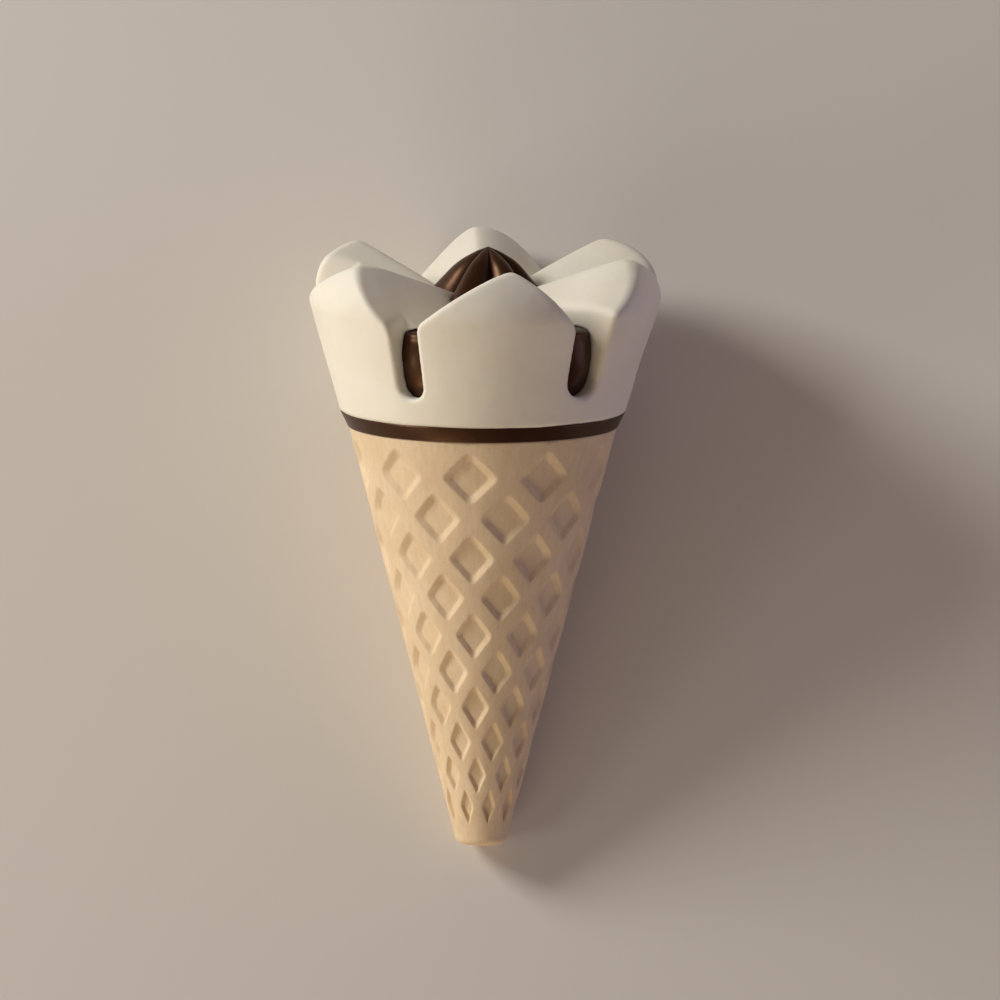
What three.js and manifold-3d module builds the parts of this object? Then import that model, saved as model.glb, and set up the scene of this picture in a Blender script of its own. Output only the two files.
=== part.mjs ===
// Ice cream cone: a pressed waffle cone, a thin chocolate band, a white six-petal crown of
// ice cream and the fluted chocolate core that shows between the petals. The cone can't stand
// on its narrow foot, so it lies on its back.
//
// Millimetres. Every piece is shaped upright: the cone's axis is +Z, its foot is at z = 0 and
// its front faces -Y. The group at the end lays the pieces down with the front facing up.
// An azimuth is in degrees round the axis, 0 at the front and 90 at +X.

import * as THREE from "three";
import { mergeVertices } from "three/addons/utils/BufferGeometryUtils.js";
import Module from "manifold-3d";

const wasm = await Module();
wasm.setup();

// Clear space between two pieces that touch.
const GAP = 0.3;

// Points nearer than this are one point.
const mergeDistance = 1e-4;

// Waffle cone.
const coneHeight = 89.75;
const coneFootRadius = 5.19;
const coneFlare = 0.2593;
const diamondColumns = 10;
const diamondRows = 10;
const firstColumnAzimuth = -6;
const topRowHeight = 81.6;
const topRowPitch = 9.15;
const rowPitchLoss = 0.118;
const diamondWidthShare = 0.71;
const diamondHeightShare = 0.6;
const diamondFloorShare = 0.67;
const diamondDepth = 1.15;
const footDepthShare = 0.6;
const mouthRadius = 28;
const lowestFullRow = 7;
const shrinkPerRow = 0.045;
const edgeSteps = 2;
const footSteps = 4;

// Chocolate band.
const bandHeight = 2.65;
const bandFootRadius = 28.6;
const bandTopRadius = 30.1;
const bandEdge = 0.4;

// Crown of six petals.
const crownFoot = coneHeight + GAP + bandHeight + GAP;
const crownFootRadius = 30.25;
const crownFlare = 0.285;
const crownFootEdge = 1.0;
const crownFootBow = 0.3;
const shoulderHeight = 118.1;
const shoulderCentreRadius = 26;
const shoulderRound = 11;
const shoulderStart = -15.9;
const shoulderEnd = 68;
const shoulderSteps = 9;
const crownSides = 72;
const petalTipRadius = 32;
const roofEndRadius = 36.5;
const slotFoot = 98.8;
const slotFootRound = 2.4;
const slotArcSteps = 8;
const slotInner = 6;
const cutterReach = 50;
const cutterFoot = crownFoot - 1;
const cutterTop = 140;

// Each petal: the azimuth of its ridge, the height of its tip, how steeply its ridge falls
// inwards, and how high its roof ends over the slots before and after it.
const petals = [
  { ridge: 10.3, tip: 126.2, fall: 0.335, before: 112.4, after: 110.2 },
  { ridge: 69.8, tip: 127.0, fall: 0.37, before: 112.4, after: 116.7 },
  { ridge: 122.4, tip: 128.4, fall: 0.4, before: 122.0, after: 116.0 },
  { ridge: 183.0, tip: 129.2, fall: 0.335, before: 111.8, after: 111.8 },
  { ridge: 240.0, tip: 127.8, fall: 0.45, before: 115.3, after: 125.0 },
  { ridge: 306.5, tip: 126.8, fall: 0.33, before: 114.2, after: 112.0 },
];

// The slot after each petal: its azimuth and how many degrees it is wide.
const slots = [
  { azimuth: 40.6, spread: 14.0 },
  { azimuth: 94.0, spread: 7.0 },
  { azimuth: 150.0, spread: 8.3 },
  { azimuth: 210.5, spread: 8.3 },
  { azimuth: 260.0, spread: 8.3 },
  { azimuth: 331.75, spread: 10.3 },
];

// Chocolate core: the outline of its six crests, foot first, as [radius, height].
const coreApex = 127.85;
const coreOutline = [
  [26.8, 96.6],
  [27.8, 97.6],
  [30, 101.5],
  [31.2, 105],
  [31.5, 108.5],
  [31.1, 111.3],
  [29.6, 112.9],
  [22, 113.5],
  [16.5, 113.9],
  [14.4, 114.8],
  [13, 116.4],
  [12, 118.2],
  [10.7, 119.7],
  [8.9, 121.8],
  [7.3, 123.55],
  [5.65, 124.95],
  [4.05, 125.95],
  [2.4, 126.85],
  [0.8, 127.5],
];
const coreSides = 72;
const fluteDepth = 0.42;
const coreLeanStart = 111;
const coreLean = 0.055;
const pocketClearance = 0.4;

// The lying cone touches the ground on small flats, this deep at the shoulder and the foot.
const restingFlat = 0.25;
const lyingLengthCentre = 65.22;

const radians = THREE.MathUtils.degToRad;

// A point at a radius from the axis.
function polarPoint(radius, azimuth, height) {
  const turn = radians(azimuth);
  return new THREE.Vector3(radius * Math.sin(turn), -radius * Math.cos(turn), height);
}

// A closed geometry from triangles given as triples of points.
function bodyFromTriangles(triangles) {
  const geometry = new THREE.BufferGeometry();
  geometry.setFromPoints(triangles.flat());
  return mergeVertices(geometry, mergeDistance);
}

// The triangles between two rings with as many points each; the second lies on the left of
// the first when the surface is seen from outside.
function strip(first, second) {
  const triangles = [];
  first.forEach((point, index) => {
    const next = (index + 1) % first.length;
    triangles.push([point, first[next], second[next]]);
    triangles.push([point, second[next], second[index]]);
  });
  return triangles;
}

// The triangles from a ring to a point on its left.
function fan(ring, centre) {
  return ring.map((point, index) => [point, ring[(index + 1) % ring.length], centre]);
}

// A closed body through rings stacked from the lowest to the highest, shut by two end points.
function ringBody(rings, lowEnd, highEnd) {
  const triangles = fan(rings[0].slice().reverse(), lowEnd);
  for (let level = 1; level < rings.length; level += 1) {
    triangles.push(...strip(rings[level - 1], rings[level]));
  }
  triangles.push(...fan(rings.at(-1), highEnd));
  return bodyFromTriangles(triangles);
}

// A level circle of points that starts at the given azimuth.
function circle(radius, height, sides, startAzimuth = 0) {
  const steps = Array.from({ length: sides }, (_, step) => startAzimuth + (360 * step) / sides);
  return steps.map((azimuth) => polarPoint(radius, azimuth, height));
}

// A body of revolution through [radius, height] pairs, lowest first.
function revolvedBody(outline, sides) {
  const rings = outline.map(([radius, height]) => circle(radius, height, sides));
  const lowEnd = new THREE.Vector3(0, 0, outline[0][1]);
  const highEnd = new THREE.Vector3(0, 0, outline.at(-1)[1]);
  return ringBody(rings, lowEnd, highEnd);
}

function solidFrom(geometry) {
  const vertProperties = Float32Array.from(geometry.getAttribute("position").array);
  const triVerts = Uint32Array.from(geometry.getIndex().array);
  return new wasm.Manifold(new wasm.Mesh({ numProp: 3, vertProperties, triVerts }));
}

function geometryFrom(solid) {
  const { vertProperties, triVerts } = solid.getMesh();
  const geometry = new THREE.BufferGeometry();
  geometry.setAttribute("position", new THREE.BufferAttribute(vertProperties, 3));
  geometry.setIndex(new THREE.BufferAttribute(triVerts, 1));
  return geometry;
}

// Waffle cone ---------------------------------------------------------------------------

function coneRadius(height) {
  return coneFootRadius + coneFlare * height;
}

// Rows of diamonds are counted down from the cone's top edge, which is row 0. Their pitch
// shrinks towards the foot.
function rowHeight(row) {
  const down = row - 1;
  const height = topRowHeight - topRowPitch * down + rowPitchLoss * down * down;
  return Math.min(height, coneHeight);
}

// A point on the cone at a row, pressed in towards the axis.
function waferPoint(azimuth, row, pressed = 0) {
  const height = rowHeight(row);
  return polarPoint(coneRadius(height) - pressed, azimuth, height);
}

// Columns stand half a column further round in every other row.
function columnAzimuth(column, row) {
  const half = row % 2 === 0 ? 0.5 : 0;
  return firstColumnAzimuth + ((column + half) * 360) / diamondColumns;
}

// Points along a closed path whose corners are given as [columns across, rows down].
function latticePath(azimuth, row, corners, pressed) {
  const halfColumn = 180 / diamondColumns;
  const points = [];
  corners.forEach(([across, down], index) => {
    const [nextAcross, nextDown] = corners[(index + 1) % corners.length];
    const steps = Math.max(Math.abs(nextAcross - across), Math.abs(nextDown - down)) > 1
      ? 2 * edgeSteps
      : edgeSteps;
    for (let step = 0; step < steps; step += 1) {
      const share = step / steps;
      const stepAcross = THREE.MathUtils.lerp(across, nextAcross, share);
      const stepDown = THREE.MathUtils.lerp(down, nextDown, share);
      points.push(waferPoint(azimuth + stepAcross * halfColumn, row + stepDown, pressed));
    }
  });
  return points;
}

function diamondPath(azimuth, row, widthShare, heightShare, pressed) {
  const corners = [[widthShare, 0], [0, -heightShare], [-widthShare, 0], [0, heightShare]];
  return latticePath(azimuth, row, corners, pressed);
}

// One cell of the lattice: half of the ribs round it, sloping walls and a sunk floor.
function diamondCell(azimuth, row) {
  const shrink = 1 - shrinkPerRow * Math.max(0, row - lowestFullRow);
  const width = diamondWidthShare * shrink;
  const height = diamondHeightShare * shrink;
  const mouthShare = coneRadius(rowHeight(row)) / mouthRadius;
  const depth = diamondDepth * THREE.MathUtils.lerp(footDepthShare, 1, mouthShare);
  const border = diamondPath(azimuth, row, 1, 1, 0);
  const rim = diamondPath(azimuth, row, width, height, 0);
  const floor = diamondPath(
    azimuth, row, width * diamondFloorShare, height * diamondFloorShare, depth);
  return [
    ...strip(border, rim),
    ...strip(rim, floor),
    ...fan(floor, waferPoint(azimuth, row, depth)),
  ];
}

// The plain half cells that close the lattice at the top edge and above the foot.
function borderCell(azimuth, row, towardsLattice) {
  const corners = towardsLattice > 0
    ? [[0, 1], [1, 0], [-1, 0]]
    : [[0, -1], [-1, 0], [1, 0]];
  const path = latticePath(azimuth, row, corners, 0);
  return fan(path, waferPoint(azimuth, row + towardsLattice / 3));
}

function latticeTriangles() {
  const triangles = [];
  for (let column = 0; column < diamondColumns; column += 1) {
    triangles.push(...borderCell(columnAzimuth(column, 0), 0, 1));
    for (let row = 1; row <= diamondRows; row += 1) {
      triangles.push(...diamondCell(columnAzimuth(column, row), row));
    }
    const lastRow = diamondRows + 1;
    triangles.push(...borderCell(columnAzimuth(column, lastRow), lastRow, -1));
  }
  return triangles;
}

// The foot's edge is rounded from the lattice's end down to a small flat end.
const footEdge = rowHeight(diamondRows + 1);
const footFlatRadius = coneRadius(footEdge) - footEdge;

function footRings(sides) {
  const rings = [];
  for (let step = footSteps; step >= 0; step -= 1) {
    const turn = (Math.PI / 2) * (step / footSteps);
    const radius = footFlatRadius + footEdge * Math.cos(turn);
    const height = footEdge * (1 - Math.sin(turn));
    rings.push(circle(radius, height, sides, firstColumnAzimuth));
  }
  return rings;
}

function waferGeometry() {
  const sides = 2 * diamondColumns * edgeSteps;
  const top = circle(coneRadius(coneHeight), coneHeight, sides, firstColumnAzimuth);
  const foot = footRings(sides);
  const triangles = latticeTriangles();
  triangles.push(...fan(top, new THREE.Vector3(0, 0, coneHeight)));
  for (let level = 1; level < foot.length; level += 1) {
    triangles.push(...strip(foot[level - 1], foot[level]));
  }
  triangles.push(...fan(foot[0].slice().reverse(), new THREE.Vector3(0, 0, 0)));
  return bodyFromTriangles(triangles);
}

// Chocolate band ------------------------------------------------------------------------

function bandGeometry() {
  const foot = coneHeight + GAP;
  const top = foot + bandHeight;
  const outline = [
    [bandFootRadius - bandEdge, foot],
    [bandFootRadius, foot + bandEdge],
    [bandTopRadius, top - bandEdge],
    [bandTopRadius - bandEdge, top],
  ];
  return revolvedBody(outline, crownSides);
}

// Chocolate core ------------------------------------------------------------------------

const slotAzimuths = slots.map((slot) => slot.azimuth);

// How far an azimuth is from the slot before it to the slot after it: 0 to 1, and 0.5 at the
// ridge of the petal between them.
function shareBetweenSlots(azimuth) {
  const turnTo = (end, number) =>
    THREE.MathUtils.euclideanModulo(end - slotAzimuths.at(number - 1), 360);
  const number = slotAzimuths.findIndex((slot, index) =>
    turnTo(azimuth, index) < turnTo(slot, index));
  const turn = turnTo(azimuth, number);
  const ridge = turnTo(petals[number].ridge, number);
  const width = turnTo(slotAzimuths[number], number);
  return turn < ridge ? turn / ridge / 2 : 1 - (width - turn) / (width - ridge) / 2;
}

// The core has a round crest in each slot and a sharp groove behind each petal's ridge.
function fluteFactor(azimuth) {
  return 1 - fluteDepth * (1 - Math.abs(Math.cos(Math.PI * shareBetweenSlots(azimuth))));
}

// The core's tip leans a little to the right.
function coreLeanAt(height) {
  return coreLean * Math.max(0, height - coreLeanStart);
}

// The core's body, or with some growth the pocket that clears it.
function coreGeometry(growth = 0) {
  const azimuths = Array.from({ length: coreSides }, (_, side) => (360 * side) / coreSides);
  const rings = coreOutline.map(([radius, height], index) => {
    const lift = index === 0 ? -growth : growth;
    return azimuths.map((azimuth) => {
      const point = polarPoint(radius * fluteFactor(azimuth) + growth, azimuth, height + lift);
      point.x += coreLeanAt(height);
      return point;
    });
  });
  const lowEnd = new THREE.Vector3(0, 0, coreOutline[0][1] - growth);
  const highEnd = new THREE.Vector3(coreLeanAt(coreApex), 0, coreApex + growth);
  return ringBody(rings, lowEnd, highEnd);
}

// Crown ---------------------------------------------------------------------------------

// The crown before its petals are cut: a flaring wall that rounds inwards at the shoulder.
function crownBlank() {
  const outline = [
    [crownFootRadius - crownFootEdge, crownFoot],
    [crownFootRadius - crownFootBow * crownFootEdge, crownFoot + crownFootBow * crownFootEdge],
    [crownFootRadius + crownFlare * crownFootEdge, crownFoot + crownFootEdge],
  ];
  for (let step = 0; step <= shoulderSteps; step += 1) {
    const turn = radians(THREE.MathUtils.lerp(shoulderStart, shoulderEnd, step / shoulderSteps));
    const radius = shoulderCentreRadius + shoulderRound * Math.cos(turn);
    outline.push([radius, shoulderHeight + shoulderRound * Math.sin(turn)]);
  }
  return solidFrom(revolvedBody(outline, crownSides));
}

// The gable over a petal: a ridge that falls inwards from the tip, and on each side a slope
// from the ridge to the roof's end over the slot there.
function roofHeight(petal, side, azimuth, radius) {
  const ridgeAt = (turn, distance) =>
    petal.tip - petal.fall * (petalTipRadius - distance * Math.cos(turn));
  const slotTurn = radians(side.slot - petal.ridge);
  const drop = ridgeAt(slotTurn, roofEndRadius) - side.height;
  const pitch = drop / Math.abs(roofEndRadius * Math.sin(slotTurn));
  const turn = radians(azimuth - petal.ridge);
  return ridgeAt(turn, radius) - pitch * Math.abs(radius * Math.sin(turn));
}

// All the space under one petal's roof, from the slot before it to the slot after it.
function petalSector(petal, slotBefore, slotAfter) {
  const before = { slot: slotBefore, height: petal.before };
  const after = { slot: slotAfter, height: petal.after };
  const edges = [[before, slotBefore], [after, petal.ridge], [after, slotAfter]];
  const low = [new THREE.Vector3(0, 0, cutterFoot)];
  low.push(...edges.map(([, azimuth]) => polarPoint(cutterReach, azimuth, cutterFoot)));
  const high = [new THREE.Vector3(0, 0, roofHeight(petal, after, petal.ridge, 0))];
  high.push(...edges.map(([side, azimuth]) =>
    polarPoint(cutterReach, azimuth, roofHeight(petal, side, azimuth, cutterReach))));
  const triangles = strip(low, high);
  triangles.push([low[0], low[2], low[1]], [low[0], low[3], low[2]]);
  triangles.push([high[0], high[1], high[2]], [high[0], high[2], high[3]]);
  return solidFrom(bodyFromTriangles(triangles));
}

// A slot's outline at a distance from the axis: it widens outwards and has a round foot.
function slotSection(slot, distance) {
  const half = distance * Math.tan(radians(slot.spread / 2));
  const outwards = polarPoint(distance, slot.azimuth, 0);
  const sideways = polarPoint(1, slot.azimuth + 90, 0);
  const outline = [[half, cutterTop], [-half, cutterTop]];
  for (let step = 0; step <= slotArcSteps; step += 1) {
    const turn = (Math.PI * step) / slotArcSteps;
    outline.push([-half * Math.cos(turn), slotFoot + slotFootRound * (1 - Math.sin(turn))]);
  }
  return outline.map(([aside, height]) =>
    outwards.clone().addScaledVector(sideways, aside).setZ(height));
}

function slotSpace(slot) {
  const ends = [slotInner, cutterReach];
  const rings = ends.map((distance) => slotSection(slot, distance));
  const middle = (slotFoot + cutterTop) / 2;
  const [lowEnd, highEnd] = ends.map((distance) => polarPoint(distance, slot.azimuth, middle));
  return solidFrom(ringBody(rings, lowEnd, highEnd));
}

function crownSolid() {
  const before = [slotAzimuths.at(-1) - 360, ...slotAzimuths.slice(0, -1)];
  const underRoofs = petals
    .map((petal, index) => petalSector(petal, before[index], slotAzimuths[index]))
    .reduce((all, sector) => all.add(sector));
  const slotSpaces = slots.map(slotSpace).reduce((all, space) => all.add(space));
  const pocket = solidFrom(coreGeometry(pocketClearance));
  return crownBlank().intersect(underRoofs).subtract(slotSpaces).subtract(pocket);
}

// Lying down ----------------------------------------------------------------------------

// The ground touches the foot's rounded edge and the shoulder's round. The angle between the
// ground and the cone's axis follows from these two arcs.
const footArc = { radius: footFlatRadius, height: footEdge, round: footEdge };
const shoulderArc = {
  radius: shoulderCentreRadius, height: shoulderHeight, round: shoulderRound };

function lyingAngle() {
  const outwards = shoulderArc.radius - footArc.radius;
  const along = shoulderArc.height - footArc.height;
  const rounds = shoulderArc.round - footArc.round;
  return Math.atan2(outwards, along) + Math.asin(rounds / Math.hypot(outwards, along));
}

// The distance from the foot's centre straight down to the ground.
function axisToGround() {
  const angle = lyingAngle();
  const edge = footArc.radius * Math.cos(angle) - footArc.height * Math.sin(angle);
  return edge + footArc.round - restingFlat;
}

// Everything below the ground, in the upright frame, where the ground is behind the cone.
function belowGround() {
  const size = 400;
  const geometry = new THREE.BoxGeometry(size, size, size);
  geometry.deleteAttribute("normal");
  geometry.deleteAttribute("uv");
  geometry.translate(0, 0, -size / 2 - axisToGround());
  geometry.rotateX(Math.PI / 2 - lyingAngle());
  return solidFrom(mergeVertices(geometry, mergeDistance));
}

function flattened(solid) {
  return geometryFrom(solid.subtract(belowGround()));
}

// Materials and group -------------------------------------------------------------------

const wafer = new THREE.MeshStandardMaterial({ color: 0xd9b88f, roughness: 0.75, metalness: 0 });
const iceCream = new THREE.MeshStandardMaterial({ color: 0xf1e7d2, roughness: 0.45, metalness: 0 });
const chocolate = new THREE.MeshStandardMaterial({ color: 0x3b1c10, roughness: 0.35, metalness: 0 });

function piece(name, geometry, material) {
  geometry.computeVertexNormals();
  const mesh = new THREE.Mesh(geometry, material);
  mesh.name = name;
  return mesh;
}

const cone = new THREE.Group();
cone.add(piece("wafer_cone", flattened(solidFrom(waferGeometry())), wafer));
cone.add(piece("chocolate_band", bandGeometry(), chocolate));
cone.add(piece("ice_cream_crown", flattened(crownSolid()), iceCream));
cone.add(piece("chocolate_core", coreGeometry(), chocolate));
cone.rotation.x = lyingAngle() - Math.PI / 2;
cone.position.set(0, -lyingLengthCentre, axisToGround());

const group = new THREE.Group();
group.add(cone);

export default group;
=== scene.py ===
"""Looks of an ice cream cone that lies on its back: a pressed waffle cone, a thin chocolate
band, a crown of six white ice cream petals and the fluted chocolate core between them.

Every piece is shaped upright, in millimetres, from the same named sizes as the CAD part: the
cone's axis is +Z, its foot is at z = 0 and its front faces -Y. lay_down() then turns it into
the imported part's frame, in metres. An azimuth is in degrees round the axis, 0 at the front
and 90 at +X.
"""

import math

import bmesh
import bpy
import numpy as np
from mathutils import Matrix, Vector, noise


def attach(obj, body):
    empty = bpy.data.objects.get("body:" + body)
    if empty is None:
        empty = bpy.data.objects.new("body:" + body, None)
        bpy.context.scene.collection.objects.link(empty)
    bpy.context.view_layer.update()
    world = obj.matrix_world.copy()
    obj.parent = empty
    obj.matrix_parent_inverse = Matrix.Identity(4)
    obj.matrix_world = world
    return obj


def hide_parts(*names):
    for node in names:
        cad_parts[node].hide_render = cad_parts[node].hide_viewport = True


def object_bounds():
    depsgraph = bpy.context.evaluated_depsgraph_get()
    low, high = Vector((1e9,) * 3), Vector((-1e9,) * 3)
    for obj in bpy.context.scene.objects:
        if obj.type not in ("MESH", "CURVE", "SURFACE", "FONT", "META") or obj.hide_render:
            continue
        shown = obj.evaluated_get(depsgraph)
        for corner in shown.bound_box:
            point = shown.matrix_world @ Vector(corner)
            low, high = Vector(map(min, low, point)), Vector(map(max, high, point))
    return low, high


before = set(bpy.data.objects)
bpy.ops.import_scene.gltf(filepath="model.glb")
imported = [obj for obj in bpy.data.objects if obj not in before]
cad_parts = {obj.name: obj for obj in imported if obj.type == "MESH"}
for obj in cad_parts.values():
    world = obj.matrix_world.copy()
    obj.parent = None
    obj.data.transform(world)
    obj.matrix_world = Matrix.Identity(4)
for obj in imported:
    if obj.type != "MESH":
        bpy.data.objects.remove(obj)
cad_low, cad_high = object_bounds()

MM = 0.001

# How far each surface goes in and out, and how wide its humps are.
WAFER_WAVES = (0.12, 9.0)
WAFER_GRAIN = (0.05, 2.2)
BAND_WAVES = (0.1, 7.0)
CORE_WAVES = (0.12, 4.0)
CROWN_WAVES = (0.16, 11.0)
CROWN_GRAIN = (0.03, 2.5)

# How finely the surfaces are worked out.
MERGE_DISTANCE = 0.002
FIELD_STEP = 0.05
LEAST_STEEPNESS = 0.05
SETTLE_ROUNDS = 3
SETTLE_REACH = 0.5
TINY = 1e-9

# Waffle cone.
CONE_HEIGHT = 89.75
CONE_FOOT_RADIUS = 5.19
CONE_FLARE = 0.2593
DIAMOND_COLUMNS = 10
DIAMOND_ROWS = 10
FIRST_COLUMN_AZIMUTH = -6.0
TOP_ROW_HEIGHT = 81.6
TOP_ROW_PITCH = 9.15
ROW_PITCH_LOSS = 0.118
TOP_EDGE_ROWS = 0.35
DIAMOND_WIDTH_SHARE = 0.76
DIAMOND_HEIGHT_SHARE = 0.67
DIAMOND_FLOOR_SHARE = 0.67
DIAMOND_DEPTH = 1.15
FOOT_DEPTH_SHARE = 0.6
MOUTH_RADIUS = 28.0
LOWEST_FULL_ROW = 7
SHRINK_PER_ROW = 0.045
SIDE_STEPS = 10
CORNER_KERNEL = [1, 2, 3, 2, 1]
RING_STAGES = [
    0, 0.4, 0.7, 0.85, 0.93, 1.0, 1.07, 1.15, 1.3, 1.5, 1.7, 1.85, 1.93, 2.0, 2.07, 2.17, 2.35, 2.65]
PLAIN_STAGES = [0, 0.25, 0.5, 0.75]
WALL_EDGE = 0.13
FOOT_STEPS = 10

# Chocolate band.
BAND_FOOT = CONE_HEIGHT - 0.1
BAND_TOP = 92.95
BAND_FOOT_RADIUS = 28.8
BAND_TOP_RADIUS = 30.1
BAND_EDGE = 0.3
BAND_EDGE_STEPS = 8
BAND_SIDES = 360

# Crown of six petals.
CROWN_FOOT = 92.8
CROWN_FOOT_RADIUS = 30.25
CROWN_FLARE = 0.285
CROWN_FOOT_EDGE = 0.7
CROWN_WALL_START = 93.0
SHOULDER_HEIGHT = 118.1
SHOULDER_CENTRE_RADIUS = 26.0
SHOULDER_ROUND = 11.0
RIDGE_END_RADIUS = 32.0
RIDGE_ROUND = 0.6
PETAL_END_FALL = 0.8
VALLEY_ROUND = 1.0
SLOT_FOOT = 98.8
SLOT_FOOT_ROUND = 0.95
SLOT_LEAN = 0.18
SLOT_LEAST_REACH = 0.5
SLOT_BLEND = 3.0
CROWN_PITCH = 0.54
CROWN_REACH = 38.5
CROWN_TOP = 130.0

# Each petal: the azimuth of its ridge, how steeply the ridge rises outwards, how high that takes it
# at its end and the height at which it levels off. Seen from outside, the petal's left and right
# sides drop by slope * aside + curve * aside**2. Then come how softly its ridge, its rim and its
# sides over the slots are rounded, and how far its shoulder bulges beyond the crown's.
PETALS = [
    {
        "ridge": 10.3, "rise": 0.335, "end": 126.5, "top": 127.3,
        "left": (0.365, 0.0099), "right": (0.62, 0.0205),
        "crease": 0.9, "rim": 0.8, "side": 1.2, "bulge": 0,
    },
    {
        "ridge": 69.8, "rise": 0.372, "end": 127.3, "top": 126.8,
        "left": (0.80, 0), "right": (0.35, 0.019),
        "crease": 1.2, "rim": 1.5, "side": 1.2, "bulge": 0.6,
    },
    {
        "ridge": 122.4, "rise": 0.418, "end": 128.9, "top": 128.4,
        "left": (0, 0.0205), "right": (0.3, 0.03),
        "crease": 1.2, "rim": 1.5, "side": 1.6, "bulge": 0.6,
    },
    {
        "ridge": 183.0, "rise": 0.335, "end": 129.8, "top": 129.3,
        "left": (0.15, 0.042), "right": (1.15, 0),
        "crease": 1.2, "rim": 0.9, "side": 2.0, "bulge": 0.3,
    },
    {
        "ridge": 240.0, "rise": 0.46, "end": 127.9, "top": 128.3,
        "left": (0.3, 0.025), "right": (0.3, 0.004),
        "crease": 1.2, "rim": 1.3, "side": 1.6, "bulge": 0,
    },
    {
        "ridge": 306.5, "rise": 0.35, "end": 127.1, "top": 126.3,
        "left": (0.42, 0), "right": (1.05, 0),
        "crease": 0.9, "rim": 0.9, "side": 1.7, "bulge": 0,
    },
]

# The slot after each petal: its azimuth, how many degrees it is wide and how near its foot comes to
# the axis.
SLOTS = [
    {"azimuth": 40.6, "spread": 14.9, "inner": 13.0},
    {"azimuth": 94.0, "spread": 7.0, "inner": 24.0},
    {"azimuth": 150.0, "spread": 8.3, "inner": 24.0},
    {"azimuth": 210.5, "spread": 8.3, "inner": 24.0},
    {"azimuth": 260.0, "spread": 8.3, "inner": 24.0},
    {"azimuth": 331.75, "spread": 10.3, "inner": 27.0},
]

# Chocolate core: the outline of its six crests, foot first, as [radius, height].
CORE_APEX = 127.85
CORE_OUTLINE = [
    [26.8, 96.6],
    [27.8, 97.6],
    [30, 101.5],
    [31.2, 105],
    [31.5, 108.5],
    [31.1, 111.3],
    [29.6, 112.9],
    [22, 113.5],
    [16.5, 113.9],
    [14.4, 114.8],
    [13, 116.4],
    [12, 118.2],
    [10.7, 119.7],
    [8.9, 121.8],
    [7.3, 123.55],
    [5.65, 124.95],
    [4.05, 125.95],
    [2.4, 126.85],
    [0.8, 127.5],
]
CORE_SIDES = 288
CORE_STEPS_PER_POINT = 8
FLUTE_DEPTH = 0.42
CORE_LEAN_START = 111.0
CORE_LEAN = 0.055
POCKET_CLEARANCE = -0.1

# How the cone lies.
RESTING_FLAT = 0.25
LYING_LENGTH_CENTRE = 65.22

# The camera, in the upright frame.
CAMERA_DISTANCE = 4000.0
CAMERA_HEIGHT = 624.7
CAMERA_PITCH = 7.844
CAMERA_YAW = 0.053
CAMERA_ROLL = -0.254
CAMERA_LENS = 685.26
CAMERA_SENSOR = 36.0

# Looks. Colours are linear red, green and blue. A texture turns from the first colour to the second
# between two stops. Sizes and depths are in millimetres.
WHITE = (1.0, 1.0, 1.0)
PATCH_STOPS = (0.3, 0.7)
WAFER_COLOURS = [(0.775, 0.6, 0.395), (0.845, 0.675, 0.465)]
WAFER_PATCH_SIZE = 14
STREAK_COLOURS = [(0.93, 0.91, 0.89), WHITE]
STREAK_STOPS = (0.35, 0.65)
STREAK_STRETCH = (1, 1, 0.12)
STREAK_SIZE = 1.1
STREAK_DEPTH = 0.05
PORE_COLOURS = [(0.9, 0.87, 0.83), WHITE]
PORE_STOPS = (0.3, 0.45)
PORE_SIZE = 0.5
PORE_DEPTH = 0.05
WAFER_FINISH = {
    "Roughness": 0.7,
    "Specular IOR Level": 0.4,
    "Subsurface Weight": 0.12,
    "Subsurface Radius": (1.0, 0.5, 0.25),
    "Subsurface Scale": 1.5 * MM,
}

CREAM_COLOURS = [(0.84, 0.79, 0.68), (0.88, 0.84, 0.74)]
CREAM_PATCH_SIZE = 12
SMEAR_SIZE = 3.5
SMEAR_DEPTH = 0.06
CRYSTAL_SIZE = 0.45
CRYSTAL_DEPTH = 0.012
CREAM_FINISH = {
    "Roughness": 0.5,
    "Specular IOR Level": 0.35,
    "Subsurface Weight": 0.4,
    "Subsurface Radius": (1.0, 0.75, 0.5),
    "Subsurface Scale": 0.8 * MM,
}

CHOCOLATE_COLOURS = [(0.022, 0.008, 0.003), (0.036, 0.013, 0.006)]
CHOCOLATE_PATCH_SIZE = 5
CHOCOLATE_ROUGHNESS = [(0.31, 0.31, 0.31), (0.38, 0.38, 0.38)]
CHOCOLATE_GRAIN_SIZE = 0.8
CHOCOLATE_GRAIN_DEPTH = 0.02
CHOCOLATE_FINISH = {
    "Specular IOR Level": 0.55,
    "Specular Tint": (1.0, 0.54, 0.32, 1.0),
}

# Stage and light. Each light stands that many degrees round the lying cone, 0 on the foot's side,
# and that many above the floor. Sizes and distances are in metres.
FLOOR_SIZE = 16.0
FLOOR_DROP = 0.00002
FLOOR_FINISH = {
    "Base Color": (0.76, 0.72, 0.67, 1.0),
    "Roughness": 0.8,
    "Specular IOR Level": 0.2,
}
LIGHT_DISTANCE = 1.2
LIGHTS = [
    {
        "name": "key", "azimuth": 240, "elevation": 25, "size": 0.4, "watts": 10.3,
        "colour": (1.0, 0.975, 0.92),
    },
    {
        "name": "side", "azimuth": 294, "elevation": 27, "size": 0.4, "watts": 1.7,
        "colour": (1.0, 0.97, 0.9),
    },
    {
        "name": "bounce", "azimuth": 335, "elevation": 12, "size": 0.6, "watts": 4.5,
        "colour": (1.0, 0.78, 0.5),
    },
    {
        "name": "fill", "azimuth": 90, "elevation": 12, "size": 0.8, "watts": 2.2,
        "colour": (0.74, 0.64, 1.0),
    },
]
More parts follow.
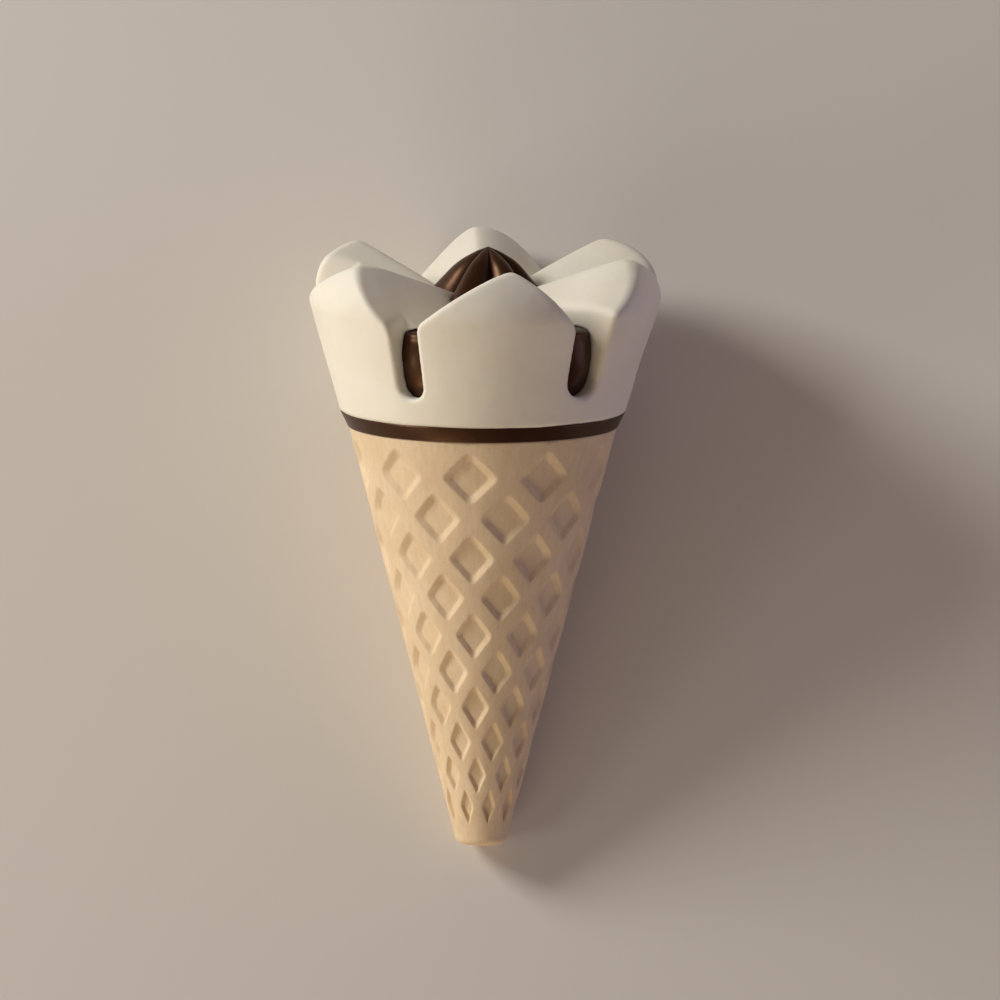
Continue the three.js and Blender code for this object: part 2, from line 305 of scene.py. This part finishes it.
SURROUNDINGS_COLOUR = (1.0, 0.82, 0.74, 1.0)
SURROUNDINGS_STRENGTH = 0.13


# Numbers and arrays ----------------------------------------------------------------------


def polar(radius, azimuth, height):
    """Points at a radius from the axis, as rows of x, y, z."""
    radius, azimuth, height = np.broadcast_arrays(radius, azimuth, height)
    turn = np.radians(azimuth)
    return np.stack([radius * np.sin(turn), -radius * np.cos(turn), height], axis=-1)


def lerp(start, end, share):
    return start + (end - start) * share


def smoothstep(share):
    share = np.clip(share, 0, 1)
    return share * share * (3 - 2 * share)


def signed_turn(degrees):
    """The same angle between -180 and 180."""
    return (degrees + 180) % 360 - 180


def round_cut(first, second, radius):
    """The field of what lies inside both, with a fillet of that radius where they meet."""
    corner = np.hypot(np.maximum(first + radius, 0), np.maximum(second + radius, 0))
    return np.minimum(-radius, np.maximum(first, second)) + corner


def soft_least(first, second, softness):
    """The lower of two heights, rounded where they cross."""
    return (first + second) / 2 - np.hypot((first - second) / 2, softness)


def smooth_curve(points, steps):
    """A Catmull-Rom curve through the points, with that many steps from each to the next."""
    points = np.array(points, float)
    padded = np.vstack([2 * points[0] - points[1], points, 2 * points[-1] - points[-2]])
    share = np.arange(steps)[:, None] / steps
    curve = []
    for index in range(1, len(padded) - 2):
        before, start, end, after = padded[index - 1 : index + 3]
        bend = 2 * before - 5 * start + 4 * end - after
        twist = 3 * (start - end) + after - before
        curve.append(0.5 * (2 * start + (end - before) * share + bend * share**2 + twist * share**3))
    curve.append(points[-1:])
    return np.vstack(curve)


# Lying down --------------------------------------------------------------------------------


def cone_radius(height):
    return CONE_FOOT_RADIUS + CONE_FLARE * height


def lattice_height(row):
    """The height of a row of diamonds, counted down from the cone's top edge, which is row 0."""
    down = row - 1
    return TOP_ROW_HEIGHT - TOP_ROW_PITCH * down + ROW_PITCH_LOSS * down * down


FOOT_EDGE = lattice_height(DIAMOND_ROWS + 1)
FOOT_FLAT_RADIUS = cone_radius(FOOT_EDGE) - FOOT_EDGE


def lying_angle():
    """The angle between the ground and the axis, from the arcs that touch the ground."""
    outwards = SHOULDER_CENTRE_RADIUS - FOOT_FLAT_RADIUS
    along = SHOULDER_HEIGHT - FOOT_EDGE
    rounds = SHOULDER_ROUND - FOOT_EDGE
    return math.atan2(outwards, along) + math.asin(rounds / math.hypot(outwards, along))


def axis_to_ground(angle):
    edge = FOOT_FLAT_RADIUS * math.cos(angle) - FOOT_EDGE * math.sin(angle)
    return edge + FOOT_EDGE - RESTING_FLAT


LYING_TURN = lying_angle() - math.pi / 2
TO_FRAME = Matrix.Translation((0, -LYING_LENGTH_CENTRE * MM, axis_to_ground(lying_angle()) * MM))
TO_FRAME = TO_FRAME @ Matrix.Rotation(LYING_TURN, 4, "X")


def lay_down(points):
    """Upright points in millimetres to the frame in metres. Nothing goes below the ground."""
    matrix = np.array(TO_FRAME)
    laid = points * MM @ matrix[:3, :3].T + matrix[:3, 3]
    laid[:, 2] = np.maximum(laid[:, 2], 0)
    return laid


# Meshes ------------------------------------------------------------------------------------


def ring_faces(rings, count, start=0):
    """Quads between rings of count points each, stored one after the other."""
    ring = np.arange(rings - 1)[:, None] * count + start
    here = np.arange(count)[None, :]
    after = (here + 1) % count
    quads = [ring + here, ring + after, ring + count + after, ring + count + here]
    return np.stack(quads, axis=-1).reshape(-1, 4)


def fan_faces(first, count, centre):
    """Triangles from a ring of points to one point on its left."""
    here = np.arange(count)
    after = (here + 1) % count
    return np.stack([first + here, first + after, np.full(count, centre)], axis=-1)


def level_outwards(points):
    """The level direction away from the axis at each point."""
    outwards = points * [1, 1, 0]
    return outwards / np.maximum(np.linalg.norm(outwards, axis=1), TINY)[:, None]


def uneven(points, outwards, depth, size):
    """Moves points in and out by smooth noise with humps of about that size."""
    lift = [noise.noise(Vector(point) / size) for point in points]
    return points + outwards * (depth * np.array(lift))[:, None]


def add_piece(name, points, faces, material, node, slot):
    """A smooth-shaded piece of food in place of its CAD node. The points are upright."""
    mesh = bpy.data.meshes.new(name)
    mesh.from_pydata(lay_down(points).tolist(), [], faces)
    clean = bmesh.new()
    clean.from_mesh(mesh)
    bmesh.ops.remove_doubles(clean, verts=clean.verts, dist=MERGE_DISTANCE * MM)
    clean.to_mesh(mesh)
    clean.free()
    mesh.polygons.foreach_set("use_smooth", [True] * len(mesh.polygons))
    mesh.materials.append(material)
    piece = bpy.data.objects.new(name, mesh)
    bpy.context.collection.objects.link(piece)
    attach(piece, "root")
    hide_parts(node)
    return piece


def surface_net(field, low, high, pitch):
    """The surface where a field is 0, as points and outward-facing quads.

    The field is below 0 inside. Each grid cell that the surface crosses gets one point.
    """
    axes = [np.arange(start, end + pitch, pitch) for start, end in zip(low, high)]
    values = field(*np.meshgrid(*axes, indexing="ij"))
    inside = values < 0
    shape = np.array(values.shape) - 1
    corners = [(i, j, k) for i in (0, 1) for j in (0, 1) for k in (0, 1)]
    count = sum(shifted(inside, corner, shape).astype(np.int8) for corner in corners)
    cells = np.argwhere((count > 0) & (count < 8))
    numbers = np.full(shape, -1)
    numbers[tuple(cells.T)] = np.arange(len(cells))
    points = crossing_points(values, cells, corners)
    points = np.array(low) + points * pitch
    return points, net_quads(inside, numbers)


def shifted(grid, corner, shape):
    i, j, k = corner
    return grid[i : i + shape[0], j : j + shape[1], k : k + shape[2]]


def crossing_points(values, cells, corners):
    """For each cell the mean of the points where its edges cross the surface."""
    total = np.zeros((len(cells), 3))
    count = np.zeros(len(cells))
    for start in corners:
        for axis in range(3):
            if start[axis] == 1:
                continue
            end = list(start)
            end[axis] = 1
            first = values[tuple((cells + start).T)]
            last = values[tuple((cells + end).T)]
            crosses = (first < 0) != (last < 0)
            share = np.where(crosses, first / np.where(crosses, first - last, 1), 0)
            point = cells + np.array(start, float)
            point[:, axis] += share
            total += np.where(crosses[:, None], point, 0)
            count += crosses
    return total / count[:, None]


def net_quads(inside, numbers):
    """A quad round every grid edge that crosses the surface."""
    quads = []
    for axis in range(3):
        second, third = (axis + 1) % 3, (axis + 2) % 3
        here = [slice(1, -1)] * 3
        here[axis] = slice(0, -1)
        there = list(here)
        there[axis] = slice(1, None)
        leaves = inside[tuple(here)] & ~inside[tuple(there)]
        enters = ~inside[tuple(here)] & inside[tuple(there)]
        for crossing, order in ((leaves, 1), (enters, -1)):
            base = np.argwhere(crossing)
            base[:, second] += 1
            base[:, third] += 1
            around = [(-1, -1), (0, -1), (0, 0), (-1, 0)][::order]
            ring = []
            for step_second, step_third in around:
                cell = base.copy()
                cell[:, second] += step_second
                cell[:, third] += step_third
                ring.append(numbers[tuple(cell.T)])
            quads.append(np.stack(ring, axis=-1))
    return np.vstack(quads)


def field_slope(field, points):
    """The field's gradient at some points."""
    slope = np.empty_like(points)
    for axis in range(3):
        ahead, behind = points.copy(), points.copy()
        ahead[:, axis] += FIELD_STEP
        behind[:, axis] -= FIELD_STEP
        slope[:, axis] = (field(*ahead.T) - field(*behind.T)) / (2 * FIELD_STEP)
    return slope


def settle(field, points, pitch):
    """Moves points onto the field's surface. Gives them and the outward directions there."""
    for _ in range(SETTLE_ROUNDS):
        slope = field_slope(field, points)
        steepness = np.maximum((slope**2).sum(axis=1), LEAST_STEEPNESS)
        move = -(field(*points.T) / steepness)[:, None] * slope
        length = np.maximum(np.linalg.norm(move, axis=1), TINY)
        points = points + move * np.minimum(1, SETTLE_REACH * pitch / length)[:, None]
    outwards = field_slope(field, points)
    return points, outwards / np.maximum(np.linalg.norm(outwards, axis=1), TINY)[:, None]


# Waffle cone -------------------------------------------------------------------------------


def row_height(row):
    """lattice_height, bent near the top so that row 0 is exactly the top edge."""
    low = lattice_height(TOP_EDGE_ROWS)
    top = low + (CONE_HEIGHT - low) * (1 - row / TOP_EDGE_ROWS)
    return np.where(row < TOP_EDGE_ROWS, top, lattice_height(row))


def wafer_point(azimuth, row, pressed=0.0):
    height = row_height(row)
    return polar(cone_radius(height) - pressed, azimuth, height)


def column_azimuth(column, row):
    half = 0.5 if row % 2 == 0 else 0
    return FIRST_COLUMN_AZIMUTH + (column + half) * 360 / DIAMOND_COLUMNS


def lattice_path(corners, steps):
    """Points along a closed path of [across, down] corners, with steps points on each side."""
    path = []
    for index, corner in enumerate(corners):
        after = corners[(index + 1) % len(corners)]
        share = np.arange(steps[index])[:, None] / steps[index]
        path.append(lerp(np.array(corner, float), np.array(after, float), share))
    return np.vstack(path)


SHARP_DIAMOND = lattice_path([[1, 0], [0, -1], [-1, 0], [0, 1]], [SIDE_STEPS] * 4)


def rounded_diamond():
    """The diamond's path with its corners smoothed."""
    reach = len(CORNER_KERNEL) // 2
    weights = np.array(CORNER_KERNEL) / sum(CORNER_KERNEL)
    shifts = range(-reach, reach + 1)
    return sum(weight * np.roll(SHARP_DIAMOND, shift, axis=0) for weight, shift in zip(weights, shifts))


ROUND_DIAMOND = rounded_diamond()


def wall_ramp(share):
    """0 on the rib and 1 on the floor, with a straight wall and soft edges."""
    return (np.hypot(share, WALL_EDGE) - np.hypot(1 - share, WALL_EDGE) + 1) / 2


def diamond_ring(azimuth, row, stage, size, depth):
    """One ring of a cell. Stage 0 is the cell's border, 1 the rim, 2 the floor's edge, 3 its centre."""
    if stage <= 1:
        reach = lerp(np.ones(2), size, stage)
    elif stage <= 2:
        reach = lerp(size, size * DIAMOND_FLOOR_SHARE, stage - 1)
    else:
        reach = size * DIAMOND_FLOOR_SHARE * (3 - stage)
    path = lerp(SHARP_DIAMOND, ROUND_DIAMOND, min(1, stage)) * reach
    pressed = depth * wall_ramp(stage - 1) if stage > 0 else 0
    half_column = 180 / DIAMOND_COLUMNS
    return wafer_point(azimuth + path[:, 0] * half_column, row + path[:, 1], pressed)


def diamond_cell(azimuth, row):
    """Half of the ribs round a diamond, its sloping walls and its sunk floor, as points."""
    shrink = 1 - SHRINK_PER_ROW * max(0, row - LOWEST_FULL_ROW)
    size = np.array([DIAMOND_WIDTH_SHARE, DIAMOND_HEIGHT_SHARE]) * shrink
    share = cone_radius(lattice_height(row)) / MOUTH_RADIUS
    depth = DIAMOND_DEPTH * lerp(FOOT_DEPTH_SHARE, 1, share)
    rings = [diamond_ring(azimuth, row, stage, size, depth) for stage in RING_STAGES]
    return np.vstack(rings + [wafer_point(azimuth, row, depth)[None, :]])


def plain_cell(azimuth, row, towards_lattice):
    """The half cell that closes the lattice at the top edge or above the foot."""
    corners = [[0, 1], [1, 0], [-1, 0]] if towards_lattice > 0 else [[0, -1], [-1, 0], [1, 0]]
    path = lattice_path(corners, [SIDE_STEPS, 2 * SIDE_STEPS, SIDE_STEPS])
    centre = np.array([0, towards_lattice / 3])
    half_column = 180 / DIAMOND_COLUMNS
    rings = []
    for stage in PLAIN_STAGES:
        ring = lerp(path, centre, stage)
        rings.append(wafer_point(azimuth + ring[:, 0] * half_column, row + ring[:, 1]))
    return np.vstack(rings + [wafer_point(azimuth, row + centre[1])[None, :]])


def cell_faces(stages, start):
    count = 4 * SIDE_STEPS
    quads = ring_faces(len(stages), count, start)
    last = start + (len(stages) - 1) * count
    return quads.tolist() + fan_faces(last, count, last + count).tolist()


def foot_rings():
    """Rings from the foot's flat end up its rounded edge, with the flat's centre last."""
    count = 2 * DIAMOND_COLUMNS * SIDE_STEPS
    azimuths = FIRST_COLUMN_AZIMUTH + np.arange(count) * 360 / count
    rings = []
    for step in range(FOOT_STEPS, -1, -1):
        turn = math.pi / 2 * step / FOOT_STEPS
        radius = FOOT_FLAT_RADIUS + FOOT_EDGE * math.cos(turn)
        rings.append(polar(radius, azimuths, FOOT_EDGE * (1 - math.sin(turn))))
    return np.vstack(rings + [np.zeros((1, 3))])


def wafer_shape():
    points, faces, start = [], [], 0
    for column in range(DIAMOND_COLUMNS):
        cells = [plain_cell(column_azimuth(column, 0), 0, 1)]
        stages = [PLAIN_STAGES]
        for row in range(1, DIAMOND_ROWS + 1):
            cells.append(diamond_cell(column_azimuth(column, row), row))
            stages.append(RING_STAGES)
        last_row = DIAMOND_ROWS + 1
        cells.append(plain_cell(column_azimuth(column, last_row), last_row, -1))
        stages.append(PLAIN_STAGES)
        for cell, stage in zip(cells, stages):
            points.append(cell)
            faces += cell_faces(stage, start)
            start += len(cell)
    foot = foot_rings()
    count = 2 * DIAMOND_COLUMNS * SIDE_STEPS
    points.append(foot)
    faces += ring_faces(FOOT_STEPS + 1, count, start).tolist()
    faces += fan_faces(start, count, start + len(foot) - 1)[:, ::-1].tolist()
    start += len(foot)
    azimuths = FIRST_COLUMN_AZIMUTH + np.arange(count) * 360 / count
    points.append(polar(cone_radius(CONE_HEIGHT), azimuths, CONE_HEIGHT))
    points.append(np.array([[0, 0, CONE_HEIGHT]]))
    faces += fan_faces(start, count, start + count).tolist()
    points = np.vstack(points)
    outwards = level_outwards(points)
    points = uneven(points, outwards, *WAFER_WAVES)
    return uneven(points, outwards, *WAFER_GRAIN), faces


# Chocolate band ------------------------------------------------------------------------------


def band_outline():
    """The band's section, foot first, with its two outer edges rounded, as [radius, height]."""
    corners = [
        (BAND_FOOT_RADIUS - BAND_EDGE, BAND_FOOT + BAND_EDGE, -90, 0),
        (BAND_TOP_RADIUS - BAND_EDGE, BAND_TOP - BAND_EDGE, 0, 90),
    ]
    outline = []
    for radius, height, start, end in corners:
        for turn in np.radians(np.linspace(start, end, BAND_EDGE_STEPS + 1)):
            outline.append(
                [radius + BAND_EDGE * math.cos(turn), height + BAND_EDGE * math.sin(turn)])
    return outline


def band_shape():
    outline = band_outline()
    azimuths = np.arange(BAND_SIDES) * 360 / BAND_SIDES
    rings = [polar(radius, azimuths, height) for radius, height in outline]
    ends = [[[0, 0, outline[0][1]]], [[0, 0, outline[-1][1]]]]
    points = np.vstack(rings + ends)
    faces = ring_faces(len(rings), BAND_SIDES).tolist()
    faces += fan_faces(0, BAND_SIDES, len(points) - 2)[:, ::-1].tolist()
    faces += fan_faces(len(points) - 2 - BAND_SIDES, BAND_SIDES, len(points) - 1).tolist()
    return uneven(points, level_outwards(points), *BAND_WAVES), faces


# Chocolate core ------------------------------------------------------------------------------

SLOT_AZIMUTHS = np.array([slot["azimuth"] for slot in SLOTS])
CORE_CURVE = smooth_curve(CORE_OUTLINE, CORE_STEPS_PER_POINT)


def petal_values(key):
    return np.array([petal[key] for petal in PETALS])


def petal_number(azimuth):
    """Which petal an azimuth belongs to, from the slot before it to the slot after it."""
    return np.searchsorted(SLOT_AZIMUTHS, azimuth % 360) % len(PETALS)


def flute_factor(azimuth):
    """A round crest in each slot and a sharp groove behind each petal's ridge."""
    number = petal_number(azimuth)
    start = SLOT_AZIMUTHS[number - 1]
    width = (SLOT_AZIMUTHS[number] - start) % 360
    groove = (petal_values("ridge")[number] - start) % 360
    turn = (azimuth - start) % 360
    share = np.where(turn < groove, turn / groove / 2, 1 - (width - turn) / (width - groove) / 2)
    return 1 - FLUTE_DEPTH * (1 - np.abs(np.cos(np.pi * share)))


def core_lean(height):
    return CORE_LEAN * np.maximum(0, height - CORE_LEAN_START)


def core_shape():
    azimuths = np.arange(CORE_SIDES) * 360 / CORE_SIDES
    rings = []
    for radius, height in CORE_CURVE:
        ring = polar(radius * flute_factor(azimuths), azimuths, height)
        ring[:, 0] += core_lean(height)
        rings.append(ring)
    low_end = [[0, 0, CORE_CURVE[0][1]]]
    high_end = [[core_lean(CORE_APEX), 0, CORE_APEX]]
    points = np.vstack(rings + [low_end, high_end])
    faces = ring_faces(len(rings), CORE_SIDES).tolist()
    faces += fan_faces(0, CORE_SIDES, len(points) - 2)[:, ::-1].tolist()
    faces += fan_faces(len(points) - 2 - CORE_SIDES, CORE_SIDES, len(points) - 1).tolist()
    return uneven(points, level_outwards(points), *CORE_WAVES), faces


# Crown -----------------------------------------------------------------------------------------


def blended(azimuth, key):
    """A petal's value, turning smoothly into its neighbour's across the slot between them."""
    values = petal_values(key)
    number = petal_number(azimuth)
    value = values[number]
    for side, slot in ((1, SLOT_AZIMUTHS[number]), (-1, SLOT_AZIMUTHS[number - 1])):
        away = np.abs(signed_turn(azimuth - slot)) / SLOT_BLEND
        neighbour = values[(number + side) % len(PETALS)]
        value = value + (neighbour - values[number]) * 0.5 * (1 - smoothstep(away))
    return value


def blank_field(radius, height):
    """The crown before its petals are cut: a flaring wall that rounds inwards at the shoulder."""
    wall = radius - CROWN_FOOT_RADIUS - CROWN_FLARE * (height - CROWN_WALL_START)
    wall = wall / math.hypot(1, CROWN_FLARE)
    aside = np.maximum(radius - SHOULDER_CENTRE_RADIUS, 0)
    shoulder = np.hypot(aside, height - SHOULDER_HEIGHT) - SHOULDER_ROUND
    above = height - SHOULDER_HEIGHT > -CROWN_FLARE * (radius - SHOULDER_CENTRE_RADIUS)
    return np.where(above, shoulder, wall)


def past_slots(number, azimuth):
    """How many degrees an azimuth lies beyond the slots on either side of a petal."""
    ridge = PETALS[number]["ridge"]
    turn = signed_turn(azimuth - ridge)
    after = signed_turn(SLOT_AZIMUTHS[number] - ridge)
    before = signed_turn(SLOT_AZIMUTHS[number - 1] - ridge)
    return np.maximum(0, np.maximum(turn - after, before - turn))


def gable_field(number, x, y, height):
    """What lies under one petal's roof: a ridge with a side on its left and one on its right."""
    petal = PETALS[number]
    ridge = math.radians(petal["ridge"])
    outwards = x * math.sin(ridge) - y * math.cos(ridge)
    aside = x * math.cos(ridge) + y * math.sin(ridge)
    slope = np.where(aside < 0, petal["left"][0], petal["right"][0])
    curve = np.where(aside < 0, petal["left"][1], petal["right"][1])
    softened = np.hypot(aside, petal["crease"])
    roof = petal["end"] - petal["rise"] * (RIDGE_END_RADIUS - outwards)
    roof = soft_least(roof, petal["top"], RIDGE_ROUND)
    roof = roof - slope * (softened - petal["crease"]) - curve * aside**2
    roof = roof - PETAL_END_FALL * past_slots(number, np.degrees(np.arctan2(x, -y)))
    steepness = np.abs(aside) * (slope / softened + 2 * curve)
    return (height - roof) / np.sqrt(1 + petal["rise"] ** 2 + steepness**2)


def roof_field(x, y, height):
    """The six gables together, with soft valleys between them."""
    roofs = gable_field(0, x, y, height)
    for number in range(1, len(PETALS)):
        roofs = -round_cut(-roofs, -gable_field(number, x, y, height), VALLEY_ROUND)
    return roofs


def slots_field(x, y, height):
    """The six slots: wedges that widen outwards, with a round foot and a leaning inner end."""
    slots = np.full(x.shape, np.inf)
    for place in SLOTS:
        azimuth = math.radians(place["azimuth"])
        half_turn = math.radians(place["spread"] / 2)
        outwards = x * math.sin(azimuth) - y * math.cos(azimuth)
        aside = x * math.cos(azimuth) + y * math.sin(azimuth)
        half = np.maximum(outwards, SLOT_LEAST_REACH) * math.tan(half_turn)
        walls = (np.abs(aside) - half) * math.cos(half_turn)
        slot = round_cut(walls, SLOT_FOOT - height, SLOT_FOOT_ROUND * half)
        inner = place["inner"] + SLOT_LEAN * (height - SLOT_FOOT)
        slot = np.maximum(slot, inner - outwards)
        slots = np.minimum(slots, slot)
    return slots


def pocket_field(x, y, height):
    """The room that the core takes up inside the crown."""
    x = x - core_lean(height)
    radius = np.hypot(x, y)
    azimuth = np.degrees(np.arctan2(x, -y))
    core = np.interp(height, CORE_CURVE[:, 1], CORE_CURVE[:, 0], right=0)
    side = radius - core * flute_factor(azimuth) - POCKET_CLEARANCE
    foot = CORE_CURVE[0][1] - POCKET_CLEARANCE - height
    return np.maximum(side, foot)


def crown_field(x, y, z):
    radius = np.hypot(x, y)
    azimuth = np.degrees(np.arctan2(x, -y)) % 360
    rim = blended(azimuth, "rim")
    side = blended(azimuth, "side")
    petals = round_cut(roof_field(x, y, z), -slots_field(x, y, z), side)
    bulge = blended(azimuth, "bulge") * smoothstep((z - SLOT_FOOT) / (SHOULDER_HEIGHT - SLOT_FOOT))
    body = round_cut(blank_field(radius - bulge, z), CROWN_FOOT - z, CROWN_FOOT_EDGE)
    crown = round_cut(body, petals, rim)
    return np.maximum(crown, -pocket_field(x, y, z))


def crown_shape():
    low = [-CROWN_REACH, -CROWN_REACH, CROWN_FOOT - 1]
    high = [CROWN_REACH, CROWN_REACH, CROWN_TOP]
    points, quads = surface_net(crown_field, low, high, CROWN_PITCH)
    points, outwards = settle(crown_field, points, CROWN_PITCH)
    points = uneven(points, outwards, *CROWN_WAVES)
    return uneven(points, outwards, *CROWN_GRAIN), quads.tolist()


# Materials ---------------------------------------------------------------------------------------


def new_material(name):
    """An empty node material. Gives it, its node tree and its shader."""
    material = bpy.data.materials.new(name)
    material.use_nodes = True
    return material, material.node_tree, material.node_tree.nodes["Principled BSDF"]


def add_node(tree, kind, values=None, **settings):
    """A node with its settings and, by socket name, its input values."""
    node = tree.nodes.new(kind)
    for setting, value in settings.items():
        setattr(node, setting, value)
    for socket, value in (values or {}).items():
        node.inputs[socket].default_value = value
    return node


def upright_coordinates(tree, stretch=(1, 1, 1)):
    """Object coordinates turned back so that Z runs along the cone, and stretched."""
    place = add_node(tree, "ShaderNodeTexCoord")
    turn = add_node(tree, "ShaderNodeMapping", {"Rotation": (-LYING_TURN, 0, 0)})
    scale = add_node(tree, "ShaderNodeMapping", {"Scale": stretch})
    tree.links.new(place.outputs["Object"], turn.inputs["Vector"])
    tree.links.new(turn.outputs["Vector"], scale.inputs["Vector"])
    return scale.outputs["Vector"]


def noise_node(tree, where, size, detail, roughness=0.5):
    """Noise with humps of about that size in millimetres."""
    values = {"Scale": 1 / (size * MM), "Detail": detail, "Roughness": roughness}
    texture = add_node(tree, "ShaderNodeTexNoise", values)
    tree.links.new(where, texture.inputs["Vector"])
    return texture.outputs["Fac"]


def colour_ramp(tree, factor, colours, stops):
    """A ramp from one colour at the first stop to another at the second."""
    ramp = add_node(tree, "ShaderNodeValToRGB")
    for element, colour, stop in zip(ramp.color_ramp.elements, colours, stops):
        element.position = stop
        element.color = (*colour, 1)
    tree.links.new(factor, ramp.inputs["Fac"])
    return ramp.outputs["Color"]


def multiply_colours(tree, first, second):
    settings = {"data_type": "RGBA", "blend_type": "MULTIPLY"}
    mix = add_node(tree, "ShaderNodeMix", {"Factor": 1}, **settings)
    tree.links.new(first, mix.inputs["A"])
    tree.links.new(second, mix.inputs["B"])
    return mix.outputs["Result"]


def bump(tree, height, depth, below=None):
    """A bump of that depth in millimetres, on top of another bump's normal."""
    node = add_node(tree, "ShaderNodeBump", {"Strength": 1, "Distance": depth * MM})
    tree.links.new(height, node.inputs["Height"])
    if below is not None:
        tree.links.new(below, node.inputs["Normal"])
    return node.outputs["Normal"]


def set_finish(shader, finish):
    for socket, value in finish.items():
        shader.inputs[socket].default_value = value


def wafer_material():
    """Baked wafer in toasted patches, with a fine grain along the cone and small pores."""
    material, tree, shader = new_material("baked_wafer")
    even = upright_coordinates(tree)
    along = upright_coordinates(tree, STREAK_STRETCH)
    patch = noise_node(tree, even, WAFER_PATCH_SIZE, detail=4)
    streak = noise_node(tree, along, STREAK_SIZE, detail=5, roughness=0.6)
    pore = noise_node(tree, even, PORE_SIZE, detail=4, roughness=0.7)
    toasted = colour_ramp(tree, patch, WAFER_COLOURS, PATCH_STOPS)
    streaks = colour_ramp(tree, streak, STREAK_COLOURS, STREAK_STOPS)
    pores = colour_ramp(tree, pore, PORE_COLOURS, PORE_STOPS)
    colour = multiply_colours(tree, multiply_colours(tree, toasted, streaks), pores)
    tree.links.new(colour, shader.inputs["Base Color"])
    normal = bump(tree, pore, PORE_DEPTH, bump(tree, streak, STREAK_DEPTH))
    tree.links.new(normal, shader.inputs["Normal"])
    set_finish(shader, WAFER_FINISH)
    return material


def ice_cream_material():
    """White ice cream, smeared smooth and slightly icy."""
    material, tree, shader = new_material("vanilla_ice_cream")
    even = upright_coordinates(tree)
    patch = noise_node(tree, even, CREAM_PATCH_SIZE, detail=3)
    smear = noise_node(tree, even, SMEAR_SIZE, detail=2)
    crystal = noise_node(tree, even, CRYSTAL_SIZE, detail=4, roughness=0.6)
    colour = colour_ramp(tree, patch, CREAM_COLOURS, PATCH_STOPS)
    tree.links.new(colour, shader.inputs["Base Color"])
    normal = bump(tree, crystal, CRYSTAL_DEPTH, bump(tree, smear, SMEAR_DEPTH))
    tree.links.new(normal, shader.inputs["Normal"])
    set_finish(shader, CREAM_FINISH)
    return material


def chocolate_material():
    """Dark chocolate with a satin gloss."""
    material, tree, shader = new_material("dark_chocolate")
    even = upright_coordinates(tree)
    patch = noise_node(tree, even, CHOCOLATE_PATCH_SIZE, detail=4)
    grain = noise_node(tree, even, CHOCOLATE_GRAIN_SIZE, detail=4, roughness=0.6)
    colour = colour_ramp(tree, patch, CHOCOLATE_COLOURS, PATCH_STOPS)
    tree.links.new(colour, shader.inputs["Base Color"])
    gloss = colour_ramp(tree, grain, CHOCOLATE_ROUGHNESS, PATCH_STOPS)
    tree.links.new(gloss, shader.inputs["Roughness"])
    normal = bump(tree, grain, CHOCOLATE_GRAIN_DEPTH)
    tree.links.new(normal, shader.inputs["Normal"])
    set_finish(shader, CHOCOLATE_FINISH)
    return material


def floor_material():
    material, _, shader = new_material("pale_floor")
    set_finish(shader, FLOOR_FINISH)
    return material


# Stage, light and camera ---------------------------------------------------------------------------


def make_floor():
    half = FLOOR_SIZE / 2
    corners = [(-half, -half, 0), (half, -half, 0), (half, half, 0), (-half, half, 0)]
    mesh = bpy.data.meshes.new("floor")
    mesh.from_pydata([(x, y, -FLOOR_DROP) for x, y, _ in corners], [], [(0, 1, 2, 3)])
    mesh.materials.append(floor_material())
    floor = bpy.data.objects.new("floor", mesh)
    bpy.context.collection.objects.link(floor)


def soft_light(name, azimuth, elevation, size, watts, colour):
    """A square light that shines at the middle of the lying cone."""
    light = bpy.data.lights.new(name, "AREA")
    light.size = size
    light.energy = watts
    light.color = colour
    lamp = bpy.data.objects.new(name, light)
    rise = math.radians(elevation)
    direction = Vector(polar(math.cos(rise), azimuth, math.sin(rise)))
    lamp.location = (Vector(cad_low) + Vector(cad_high)) / 2 + direction * LIGHT_DISTANCE
    lamp.rotation_euler = direction.to_track_quat("Z", "Y").to_euler()
    bpy.context.collection.objects.link(lamp)


def make_lights():
    for light in LIGHTS:
        soft_light(**light)
    world = bpy.data.worlds.new("studio")
    world.use_nodes = True
    background = world.node_tree.nodes["Background"]
    background.inputs["Color"].default_value = SURROUNDINGS_COLOUR
    background.inputs["Strength"].default_value = SURROUNDINGS_STRENGTH
    bpy.context.scene.world = world


def make_camera():
    """The photograph's camera: far away, looking down a little on the upright cone."""
    pitch, yaw, roll = (math.radians(angle) for angle in (CAMERA_PITCH, CAMERA_YAW, CAMERA_ROLL))
    forward = Vector((math.sin(yaw), math.cos(yaw), 0)) * math.cos(pitch)
    forward.z = -math.sin(pitch)
    right = Vector((math.cos(yaw), -math.sin(yaw), 0))
    up = right.cross(forward)
    rolled_right = right * math.cos(roll) - up * math.sin(roll)
    rolled_up = right * math.sin(roll) + up * math.cos(roll)
    upright = Matrix((rolled_right, rolled_up, -forward)).transposed().to_4x4()
    upright.translation = Vector((0, -CAMERA_DISTANCE, CAMERA_HEIGHT)) * MM
    lens = bpy.data.cameras.new("camera")
    lens.sensor_width = CAMERA_SENSOR
    lens.lens = CAMERA_LENS
    camera = bpy.data.objects.new("camera", lens)
    camera.matrix_world = TO_FRAME @ upright
    bpy.context.collection.objects.link(camera)
    bpy.context.scene.camera = camera


chocolate = chocolate_material()
add_piece("wafer", *wafer_shape(), wafer_material(), "wafer_cone", "wafer")
add_piece("band", *band_shape(), chocolate, "chocolate_band", "chocolate")
add_piece("core", *core_shape(), chocolate, "chocolate_core", "chocolate")
add_piece("crown", *crown_shape(), ice_cream_material(), "ice_cream_crown", "ice_cream")
make_floor()
make_lights()
make_camera()
bpy.context.scene.view_settings.view_transform = "Standard"
